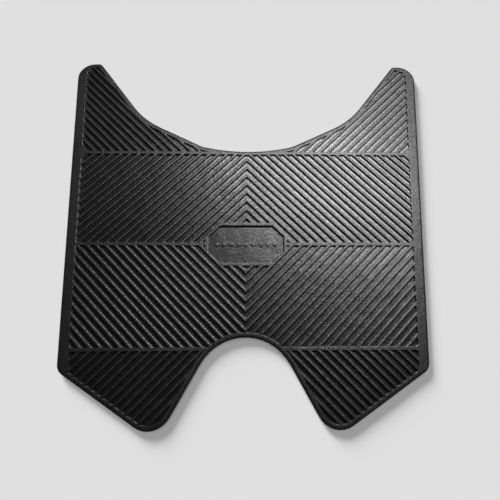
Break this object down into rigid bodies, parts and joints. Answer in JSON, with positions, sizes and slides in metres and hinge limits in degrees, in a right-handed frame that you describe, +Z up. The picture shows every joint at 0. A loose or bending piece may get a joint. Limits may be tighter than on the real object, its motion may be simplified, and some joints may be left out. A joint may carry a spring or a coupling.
{
  "type": "ribbed rubber footboard mat",
  "caption": "Flat black rubber foot mat with herringbone anti-slip ribs, horned front edge, arched rear edge, plain sunken badge and peel-and-stick fixing pads below.",
  "frame": {"origin": "middle of the mat's bounding box on the floor, the plane of its feet", "axes": "+Z up out of the ribbed face, +Y towards the two horns at the front, +X to the right"},
  "size_m": [0.3492, 0.3524, 0.0052],
  "materials": {
    "rubber": "moulded matt black rubber with a faint sheen",
    "foam_tape": "dark grey acrylic foam tape",
    "liner_film": "smooth red release film"
  },
  "bodies": {
    "mat": {"mat": "rubber", "tape_centre": "foam_tape", "tape_horn_right": "foam_tape", "tape_horn_left": "foam_tape", "tape_side_front_right": "foam_tape", "tape_side_front_left": "foam_tape", "tape_side_rear_right": "foam_tape", "tape_side_rear_left": "foam_tape", "tape_leg_right": "foam_tape", "tape_leg_left": "foam_tape"},
    "liner_centre": {"liner_centre": "liner_film"},
    "liner_horn_right": {"liner_horn_right": "liner_film"},
    "liner_horn_left": {"liner_horn_left": "liner_film"},
    "liner_side_front_right": {"liner_side_front_right": "liner_film"},
    "liner_side_front_left": {"liner_side_front_left": "liner_film"},
    "liner_side_rear_right": {"liner_side_rear_right": "liner_film"},
    "liner_side_rear_left": {"liner_side_rear_left": "liner_film"},
    "liner_leg_right": {"liner_leg_right": "liner_film"},
    "liner_leg_left": {"liner_leg_left": "liner_film"}
  },
  "joints": [
    {"name": "liner_centre_pull", "type": "slide", "parent": "mat", "child": "liner_centre", "axis": [0, 1, 0], "range_m": [0, 0.135]},
    {"name": "liner_horn_right_pull", "type": "slide", "parent": "mat", "child": "liner_horn_right", "axis": [0, 1, 0], "range_m": [0, 0.105]},
    {"name": "liner_horn_left_pull", "type": "slide", "parent": "mat", "child": "liner_horn_left", "axis": [0, 1, 0], "range_m": [0, 0.105]},
    {"name": "liner_side_front_right_pull", "type": "slide", "parent": "mat", "child": "liner_side_front_right", "axis": [1, 0, 0], "range_m": [0, 0.09]},
    {"name": "liner_side_front_left_pull", "type": "slide", "parent": "mat", "child": "liner_side_front_left", "axis": [-1, 0, 0], "range_m": [0, 0.09]},
    {"name": "liner_side_rear_right_pull", "type": "slide", "parent": "mat", "child": "liner_side_rear_right", "axis": [1, 0, 0], "range_m": [0, 0.09]},
    {"name": "liner_side_rear_left_pull", "type": "slide", "parent": "mat", "child": "liner_side_rear_left", "axis": [-1, 0, 0], "range_m": [0, 0.09]},
    {"name": "liner_leg_right_pull", "type": "slide", "parent": "mat", "child": "liner_leg_right", "axis": [0, -1, 0], "range_m": [0, 0.095]},
    {"name": "liner_leg_left_pull", "type": "slide", "parent": "mat", "child": "liner_leg_left", "axis": [0, -1, 0], "range_m": [0, 0.095]}
  ]
}
